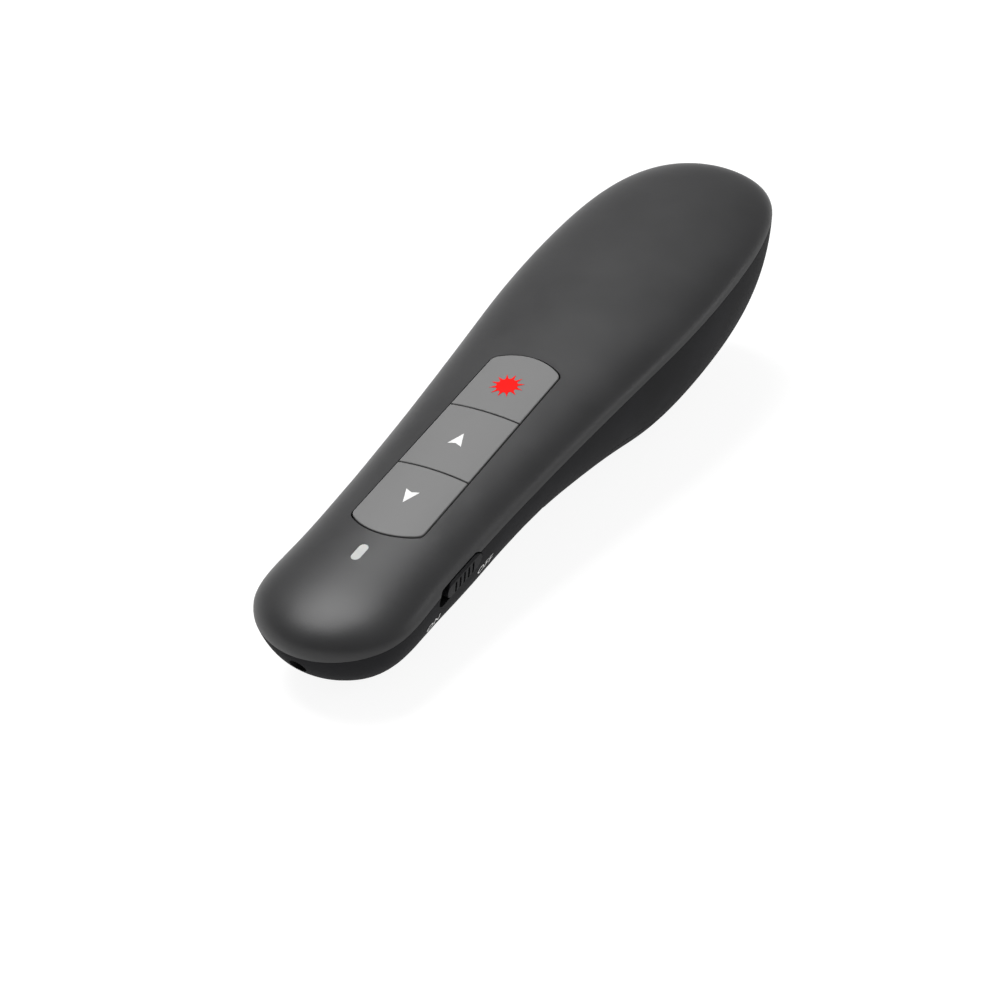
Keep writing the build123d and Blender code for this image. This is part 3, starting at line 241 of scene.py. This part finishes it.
# Metals of the inner pieces: zinc plating is cool and half dull, nickel warmer and smoother,
# solder tin soft and pale, and the gold flash on a contact thin and bright
steel_look = look(
    ("#a9abad", "#b6b8ba"), mottle=1.2, grain=0.08, depth=0.001, roughness=(0.25, 0.38),
    Metallic=1.0)
nickel_look = look(
    ("#b9b5aa", "#c6c2b8"), mottle=1.5, grain=0.1, depth=0.001, roughness=(0.22, 0.32),
    Metallic=1.0)
tin_look = look(
    ("#bcbdbf", "#c9cacc"), mottle=0.5, grain=0.08, depth=0.002, roughness=(0.3, 0.45),
    Metallic=1.0)
gold_look = look(
    ("#d9b45c", "#e3c374"), mottle=1.0, grain=0.08, depth=0.0005, roughness=(0.15, 0.25),
    Metallic=1.0)
steel = surface("zinc_plated_steel", steel_look)
nickel = surface("nickel_plated_steel", nickel_look)
gold = surface("gold_plated_contact", gold_look)
# Turned brass: yellow and bright, with fine darker rings from the tool along the barrel
brass_look = look(
    ("#b5924c", "#c4a25c"), mottle=1.2, grain=0.06, depth=0.001, roughness=(0.2, 0.32),
    Metallic=1.0)
tool_mark_look = look(
    ("#9c7c3e", "#a98847"), mottle=1.0, grain=0.06, depth=0.001, roughness=(0.3, 0.4),
    Metallic=1.0)
brass = surface(
    "turned_brass",
    brass_look,
    (lanes(width=0.8, length=50.0, line=0.12), tool_mark_look),
)
# Clear acrylic lens: see-through and polished
lens = surface("clear_acrylic_lens", look(
    ("#eef4f4", "#f6fafa"), mottle=2.0, grain=0.3, depth=0.0003, roughness=(0.02, 0.05),
    IOR=1.49, Transmission_Weight=1.0))
# Natural acetal plungers and the switch lever: off-white and a little waxy
acetal = surface("natural_acetal", look(
    ("#e6e3da", "#eeebe3"), mottle=1.0, grain=0.1, depth=0.001, roughness=(0.35, 0.45), IOR=1.48))
# White nylon tongue of the plug: plain white with a low sheen
nylon = surface("white_nylon", look(
    ("#e9e9e7", "#f1f1ef"), mottle=1.5, grain=0.1, depth=0.001, roughness=(0.35, 0.45), IOR=1.53))

# Tact switch: dull black nylon body under a bright stamped steel cover
TACT_COVER_LOW_Z, TACT_COVER_HIGH_Z = -0.4, 0.3
tact_body_look = look(
    ("#1d1d1f", "#242426"), mottle=1.0, grain=0.12, depth=0.003, roughness=(0.45, 0.6), IOR=1.53)
tact = surface(
    "tact_switch_nylon_and_steel",
    tact_body_look,
    (band("Z", TACT_COVER_LOW_Z, TACT_COVER_HIGH_Z), steel_look),
)
# Chip: matte black epoxy on a tinned pad frame at the board's face
BOARD_LOW_Z = -2.9
CHIP_PAD_LOW_Z, CHIP_PAD_HIGH_Z = BOARD_LOW_Z - 0.2, BOARD_LOW_Z + 0.1
epoxy_look = look(
    ("#202123", "#28292b"), mottle=0.8, grain=0.06, depth=0.003, roughness=(0.5, 0.65), IOR=1.55)
chip = surface(
    "black_epoxy_package",
    epoxy_look,
    (band("Z", CHIP_PAD_LOW_Z, CHIP_PAD_HIGH_Z), tin_look),
)
# Crystal: dark ceramic base at the board's face under a plated can
CRYSTAL_BASE_LOW_Z, CRYSTAL_BASE_HIGH_Z = BOARD_LOW_Z - 0.3, BOARD_LOW_Z + 0.1
crystal_base_look = look(
    ("#4a443c", "#554e45"), mottle=0.6, grain=0.08, depth=0.002, roughness=(0.5, 0.6), IOR=1.6)
crystal = surface(
    "plated_crystal_can",
    steel_look,
    (band("Z", CRYSTAL_BASE_LOW_Z, CRYSTAL_BASE_HIGH_Z), crystal_base_look),
)
# Capacitors: tan ceramic between tinned ends
CAPACITOR_Y, CAPACITOR_BARE_HALF = 44.5, 0.5
ceramic_look = look(
    ("#a88762", "#b8966f"), mottle=0.5, grain=0.05, depth=0.001, roughness=(0.35, 0.5), IOR=1.6)
capacitor = surface(
    "tinned_ceramic_capacitor",
    tin_look,
    (band("Y", CAPACITOR_Y - CAPACITOR_BARE_HALF, CAPACITOR_Y + CAPACITOR_BARE_HALF),
     ceramic_look),
)
# Light-emitting diode: white body with its phosphor on top
LED_LENS_LOW_Z, LED_LENS_HIGH_Z = -1.25, -1.0
led_body_look = look(
    ("#e4e4de", "#ecece6"), mottle=0.8, grain=0.08, depth=0.001, roughness=(0.35, 0.5), IOR=1.5)
phosphor_look = look(
    ("#d8c34a", "#e0cd5c"), mottle=0.4, grain=0.08, depth=0.001, roughness=(0.2, 0.3))
led = surface(
    "white_led_package",
    led_body_look,
    (band("Z", LED_LENS_LOW_Z, LED_LENS_HIGH_Z), phosphor_look),
)
# Circuit board: glossy green solder mask, lighter over the copper traces, with tinned pads
solder_mask_look = look(
    ("#14532f", "#1b6338"), mottle=2.2, grain=0.5, depth=0.004, roughness=(0.25, 0.35), IOR=1.52)
trace_look = look(
    ("#2c7a48", "#358652"), mottle=1.0, grain=0.3, depth=0.002, roughness=(0.22, 0.3), IOR=1.52)
board_green = surface(
    "green_solder_mask",
    solder_mask_look,
    (lanes(width=1.6, length=6.5, line=0.25), trace_look),
    (spots(pitch=3.1, size=0.9), tin_look),
)


blue_film_look = look(
    ("#24496f", "#2b5580"), mottle=6.0, grain=0.3, depth=0.001, roughness=(0.22, 0.3), IOR=1.5)
pale_film_look = look(
    ("#cfd3d6", "#d8dcde"), mottle=4.0, grain=0.3, depth=0.001, roughness=(0.22, 0.3), IOR=1.5)
# Spans of a cell's jacket in mm, measured inward from one of its ends
RING_SPAN = (9.0, 13.0)
LINE_SPAN = (14.0, 14.6)
FOOT_SPAN = (-2.0, 0.9)
SHOULDER_SPAN = (-3.0, 1.8)


def inward(end, way, span):
    """Band of Y over a span that starts at one end and runs this way."""
    return band("Y", *sorted(end + way * reach for reach in span))


def cell_jacket(name, negative_end, positive_end):
    """Printed film on a steel cell: blue with a pale ring, and bare steel at the two ends."""
    way = 1 if positive_end > negative_end else -1
    return surface(
        name,
        blue_film_look,
        (inward(positive_end, -way, RING_SPAN), pale_film_look),
        (inward(positive_end, -way, LINE_SPAN), pale_film_look),
        (inward(negative_end, way, FOOT_SPAN), nickel_look),
        (inward(positive_end, -way, SHOULDER_SPAN), nickel_look),
    )


finishes = {
    "top_cover": soft_black,
    # The lower shell and the battery cover take the black with the painted shade
    "lower_housing": rubber_black_painted_shade,
    "battery_cover": rubber_black_painted_shade,
    "slide_knob": knob_black,
    "receiver_cap": knob_black,
    "page_down_key": key_grey,
    "page_up_key": key_grey,
    "laser_key": key_grey,
    "light_pipe": milky,
    "status_led": led,
    "laser_barrel": brass,
    "laser_lens": lens,
    "laser_diode": steel,
    "circuit_board": board_green,
    "radio_chip": chip,
    "crystal": crystal,
    "capacitors": capacitor,
    "power_switch": steel,
    "power_switch_lever": acetal,
    "page_down_stem": acetal,
    "page_up_stem": acetal,
    "laser_stem": acetal,
    "page_down_switch": tact,
    "page_up_switch": tact,
    "laser_switch": tact,
    "cell_left": cell_jacket("left_cell_jacket", negative_end=68.65, positive_end=113.15),
    "cell_right": cell_jacket("right_cell_jacket", negative_end=108.95, positive_end=64.45),
    "negative_contact": nickel,
    "positive_contact": nickel,
    "bridge_contact": nickel,
    "negative_spring": nickel,
    "bridge_spring": nickel,
    "plug_shell": nickel,
    "plug_tongue": nylon,
    "plug_contacts": gold,
    "neck_screws": steel,
    "deck_screws": steel,
    "board_screws": steel,
}
for name, piece in nodes.items():
    for held in piece.material_slots:
        held.material = finishes[name]


# ------------------------------------------------------------------ smooth shells
# Corners closer than this, in mm, are one corner
WELD = 0.002
CREASE = math.cos(math.radians(28))
NEARLY_FLAT = math.cos(math.radians(9))


def smooth_shell(name, body):
    """Stands a copy of a shell in its place, with normals that don't streak on thin triangles.

    A corner's normal adds up the faces around it that don't lie beyond a crease. Where they are
    nearly flat, a face counts by the sine of its corner over the lengths of both sides, and on
    the small roundings by its corner's angle.
    """
    bm = bmesh.new()
    bm.from_mesh(nodes[name].data)
    bmesh.ops.remove_doubles(bm, verts=bm.verts[:], dist=WELD * MM)
    bm.normal_update()
    by_sides, by_angle = {}, {}
    for face in bm.faces:
        face.smooth = True
        for corner in face.loops:
            onward = corner.link_loop_next.vert.co - corner.vert.co
            back = corner.link_loop_prev.vert.co - corner.vert.co
            by_sides[corner] = onward.cross(back) / (onward.length_squared * back.length_squared)
            by_angle[corner] = face.normal * corner.calc_angle()
    normals = []
    for face in bm.faces:
        for corner in face.loops:
            around = [c for c in corner.vert.link_loops if c.face.normal.dot(face.normal) > CREASE]
            flat = all(c.face.normal.dot(face.normal) > NEARLY_FLAT for c in around)
            share = by_sides if flat else by_angle
            normals.append(sum((share[c] for c in around), Vector()).normalized())
    mesh = bpy.data.meshes.new(name + "_shell")
    bm.to_mesh(mesh)
    bm.free()
    mesh.normals_split_custom_set(normals)
    mesh.materials.append(finishes[name])
    shell = bpy.data.objects.new(name + "_shell", mesh)
    bpy.context.scene.collection.objects.link(shell)
    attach(shell, body)
    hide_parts(name)
    return shell


smooth_shell("top_cover", "casing")
lower_shell = smooth_shell("lower_housing", "casing")
cover_shell = smooth_shell("battery_cover", "cover")


# ------------------------------------------------------------------ printed marks
# Ink in mm: the cells a mark is cut into to follow a curved face, its lift and its thickness
INK_CELL = 0.35
INK_LIFT = 0.015
INK_THICKNESS = 0.02
SAME_POINT = 1e-5
# Ways to press a mark on, in the seam frame
STRAIGHT_DOWN = (0, 0, -1)
STRAIGHT_UP = (0, 0, 1)
FROM_THE_RIGHT = (-1, 0, 0)


def seated(bm, name, carrier, place, way, body, material):
    """Lays a flat mark down on the piece that carries it and gives its ink a thickness.

    The mark is drawn in its own XY plane in mm; place puts it in front of the carrier in the
    seam frame, and way is the direction in which it is pressed on.
    """
    reach = max(max(abs(v.co.x), abs(v.co.y)) for v in bm.verts)
    for axis in (Vector((1, 0, 0)), Vector((0, 1, 0))):
        steps = int(reach / INK_CELL) + 1
        for i in range(-steps, steps + 1):
            bmesh.ops.bisect_plane(
                bm,
                geom=bm.verts[:] + bm.edges[:] + bm.faces[:],
                plane_co=axis * i * INK_CELL,
                plane_no=axis,
                dist=SAME_POINT,
            )
    bmesh.ops.triangulate(bm, faces=bm.faces[:])
    down = (SEAM.to_3x3() @ Vector(way)).normalized()
    for vert in bm.verts:
        start = SEAM @ (place @ vert.co * MM)
        found, hit = carrier.ray_cast(start, down)[:2]
        if not found:
            raise ValueError(f"{name} misses its carrier")
        vert.co = hit - down * INK_LIFT * MM
    bm.normal_update()
    if sum(face.normal.dot(down) for face in bm.faces) > 0:
        bmesh.ops.reverse_faces(bm, faces=bm.faces[:])
    bmesh.ops.solidify(bm, geom=bm.faces[:], thickness=-INK_THICKNESS * MM)
    bmesh.ops.recalc_face_normals(bm, faces=bm.faces[:])
    mesh = bpy.data.meshes.new(name)
    bm.to_mesh(mesh)
    bm.free()
    mark = bpy.data.objects.new(name, mesh)
    bpy.context.scene.collection.objects.link(mark)
    mesh.materials.append(material)
    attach(mark, body)


def outline(points):
    """A flat face on the given corners."""
    bm = bmesh.new()
    bm.faces.new([bm.verts.new((x, y, 0)) for x, y in points])
    return bm


# Height over the seam from which a mark goes down onto a key, in mm
ABOVE = 12.0


def on_top(y, turn=0.0):
    """Place of a mark over the keys' centre line, turned about its own middle."""
    return Matrix.Translation((0, y, ABOVE)) @ Matrix.Rotation(turn, 4, "Z")


ARROW_HALF_WIDTH = 1.13
ARROW_TIP = 1.33
ARROW_TAIL = -1.33
ARROW_NOTCH = -0.92
arrow = [
    (0, ARROW_TIP),
    (-ARROW_HALF_WIDTH, ARROW_TAIL),
    (0, ARROW_NOTCH),
    (ARROW_HALF_WIDTH, ARROW_TAIL),
]
PAGE_UP_MARK_Y = 42.41
PAGE_DOWN_MARK_Y = 29.03
LASER_MARK_Y = 55.65
bpy.context.view_layer.update()
seated(outline(arrow), "page_up_arrow", nodes["page_up_key"], on_top(PAGE_UP_MARK_Y),
       STRAIGHT_DOWN, "page_up", white_ink)
seated(outline(arrow), "page_down_arrow", nodes["page_down_key"],
       on_top(PAGE_DOWN_MARK_Y, math.pi), STRAIGHT_DOWN, "page_down", white_ink)

# Twelve thin rays around a disc. Each ray has a tip and two shoulders, with a valley between
# rays; a point has its share of the ray's angle and its radius in mm.
RAYS = 12
RAY_TIP = 2.65
RAY_SHOULDER = 1.68
RAY_VALLEY = 1.58
RAY_POINTS = ((0.0, RAY_TIP), (0.26, RAY_SHOULDER), (0.5, RAY_VALLEY), (0.74, RAY_SHOULDER))
RAY_ANGLE = 2 * math.pi / RAYS
star = [
    (r * math.cos(RAY_ANGLE * (i + share)), r * math.sin(RAY_ANGLE * (i + share)))
    for i in range(RAYS)
    for share, r in RAY_POINTS
]
seated(outline(star), "laser_burst", nodes["laser_key"], on_top(LASER_MARK_Y),
       STRAIGHT_DOWN, "laser", red_ink)


LETTER_SPACING = 1.04
CURVE_STEPS = 4
# Share of the font's size that a capital is high
CAPITAL_SHARE = 0.7


def word(text, height):
    """Flat mesh of a word, centred, with capitals of the given height."""
    curve = bpy.data.curves.new(text, "FONT")
    curve.body = text
    curve.align_x = "CENTER"
    curve.align_y = "CENTER"
    curve.size = height / CAPITAL_SHARE
    curve.space_character = LETTER_SPACING
    curve.resolution_u = CURVE_STEPS
    holder = bpy.data.objects.new(text, curve)
    bpy.context.scene.collection.objects.link(holder)
    bpy.context.view_layer.update()
    flat = bpy.data.meshes.new_from_object(holder)
    bpy.data.objects.remove(holder)
    bm = bmesh.new()
    bm.from_mesh(flat)
    bmesh.ops.remove_doubles(bm, verts=bm.verts[:], dist=SAME_POINT)
    return bm


# The two words stand on the +X side, under the ends of the switch slot, and read toward the palm.
# BESIDE is the X from which they are pressed on.
BESIDE = 25.0
QUARTER_TURN = math.radians(90)
side_up = Matrix.Rotation(QUARTER_TURN, 4, "Z") @ Matrix.Rotation(QUARTER_TURN, 4, "X")
WORD_HEIGHT = 1.45
ON_Y, ON_Z = 16.45, -4.37
OFF_Y, OFF_Z = 29.2, -4.35
for text, y, z in (("ON", ON_Y, ON_Z), ("OFF", OFF_Y, OFF_Z)):
    seated(word(text, WORD_HEIGHT), "switch_" + text.lower(), lower_shell,
           Matrix.Translation((BESIDE, y, z)) @ side_up, FROM_THE_RIGHT, "casing", white_ink)

# Open arrow on the underside, in front of the cover's grip grooves: the way the cover slides off
COVER_MARK_Y = 67.2
COVER_MARK_HALF_WIDTH = 2.2
COVER_MARK_HALF_LENGTH = 1.3
BENEATH = -40.0
cover_arrow = [
    (-COVER_MARK_HALF_WIDTH, -COVER_MARK_HALF_LENGTH),
    (COVER_MARK_HALF_WIDTH, -COVER_MARK_HALF_LENGTH),
    (0, COVER_MARK_HALF_LENGTH),
]
seated(outline(cover_arrow), "cover_arrow", cover_shell,
       Matrix.Translation((0, COVER_MARK_Y, BENEATH)), STRAIGHT_UP, "cover", pale_ink)

# ------------------------------------------------------------------ studio
# White paper for the floor and a wall around it, in metres; its own light shows on the
# background only and takes PAPER_SHARE of what is seen there
FLOOR_SIZE = 6.0
WALL_RADIUS = 5.9
WALL_HEIGHT = 1.6
WALL_SIDES = 64
PAPER_SPECK = 40.0
PAPER_GLOW = 1.25
PAPER_SHARE = 0.72
AIR_STRENGTH = 0.28


def background_rays(tree):
    """1 for rays that see the white background: from the camera, off a gloss, through glass."""
    path = add(tree, "ShaderNodeLightPath").outputs
    clear = {0: path["Is Camera Ray"], 1: path["Is Transmission Ray"]}
    straight = add(tree, "ShaderNodeMath", clear, operation="MAXIMUM")
    every = {0: straight.outputs[0], 1: path["Is Glossy Ray"]}
    return add(tree, "ShaderNodeMath", every, operation="MAXIMUM").outputs[0]


paper_material, tree, place = blank("matt_white_paper")
speck = add(tree, "ShaderNodeTexNoise", {"Vector": place, "Scale": per(PAPER_SPECK)})
paper = add(
    tree,
    "ShaderNodeValToRGB",
    {"Fac": speck.outputs["Fac"]},
    stops=[(NOISE_LOW, linear("#f0f0f0")), (NOISE_HIGH, linear("#f4f4f4"))],
)
diffuse = add(tree, "ShaderNodeBsdfDiffuse", {"Color": paper.outputs["Color"]})
glow = add(tree, "ShaderNodeEmission", {"Color": linear("#ffffff"), "Strength": PAPER_GLOW})
lit = {0: background_rays(tree), 1: PAPER_SHARE}
seen = add(tree, "ShaderNodeMath", lit, operation="MULTIPLY")
blended = add(
    tree,
    "ShaderNodeMixShader",
    {0: seen.outputs[0], 1: diffuse.outputs[0], 2: glow.outputs[0]},
)
add(tree, "ShaderNodeOutputMaterial", {"Surface": blended.outputs[0]})


def papered(bm, name):
    """Covers a part of the studio with the white paper."""
    mesh = bpy.data.meshes.new(name)
    bm.to_mesh(mesh)
    bm.free()
    mesh.materials.append(paper_material)
    made = bpy.data.objects.new(name, mesh)
    bpy.context.scene.collection.objects.link(made)


bm = bmesh.new()
bmesh.ops.create_grid(bm, x_segments=1, y_segments=1, size=FLOOR_SIZE)
papered(bm, "floor")

# A low round wall stands far off, so that the paper goes on above the floor's far edge
bm = bmesh.new()
bmesh.ops.create_cone(
    bm,
    cap_ends=False,
    segments=WALL_SIDES,
    radius1=WALL_RADIUS,
    radius2=WALL_RADIUS,
    depth=WALL_HEIGHT,
    matrix=Matrix.Translation((0, 0, WALL_HEIGHT / 2)),
)
bmesh.ops.reverse_faces(bm, faces=bm.faces[:])
papered(bm, "backdrop")

world = bpy.data.worlds.new("studio_air")
bpy.context.scene.world = world
world.use_nodes = True
tree = world.node_tree
tree.nodes.clear()
air = add(tree, "ShaderNodeBackground", {"Color": linear("#ffffff"), "Strength": AIR_STRENGTH})
add(tree, "ShaderNodeOutputWorld", {"Surface": air.outputs[0]})


def softbox(name, azimuth, elevation, distance, size, power):
    """Area lamp on a sphere around the clicker, facing it; degrees, metres and watts."""
    lamp = bpy.data.lights.new(name, "AREA")
    lamp.shape = "RECTANGLE"
    lamp.size, lamp.size_y = size
    lamp.energy = power
    lamp_object = bpy.data.objects.new(name, lamp)
    bpy.context.scene.collection.objects.link(lamp_object)
    turn = Matrix.Rotation(math.radians(azimuth), 4, "Z")
    turn = turn @ Matrix.Rotation(math.radians(90 - elevation), 4, "X")
    lamp_object.matrix_world = turn @ Matrix.Translation((0, 0, distance))


softbox(
    "top_softbox", azimuth=-102.0, elevation=70.0, distance=1.0, size=(0.55, 0.55), power=8.8)
softbox(
    "rim_strip", azimuth=128.0, elevation=26.0, distance=0.9, size=(0.5, 0.12), power=0.7)

# ------------------------------------------------------------------ camera
# Degrees and mm; the camera looks at AIM
AIM = Vector((0.59743, -11.20114, 5.06930)) * MM
AZIMUTH = 32.9445
ELEVATION = 33.2262
ROLL = -1.8915
DISTANCE = 300.841
LENS = 72.36
SENSOR_WIDTH = 36.0
NEAREST_SEEN = 10.0
camera_data = bpy.data.cameras.new("camera")
camera_data.lens = LENS
camera_data.sensor_width = SENSOR_WIDTH
camera_data.clip_start = NEAREST_SEEN * MM
camera = bpy.data.objects.new("camera", camera_data)
bpy.context.scene.collection.objects.link(camera)
turn = Matrix.Rotation(math.radians(AZIMUTH), 4, "Z")
turn = turn @ Matrix.Rotation(math.radians(90 - ELEVATION), 4, "X")
turn = turn @ Matrix.Rotation(math.radians(ROLL), 4, "Z")
camera.matrix_world = Matrix.Translation(AIM) @ turn @ Matrix.Translation((0, 0, DISTANCE * MM))
bpy.context.scene.camera = camera

bpy.context.scene.view_settings.view_transform = "Standard"
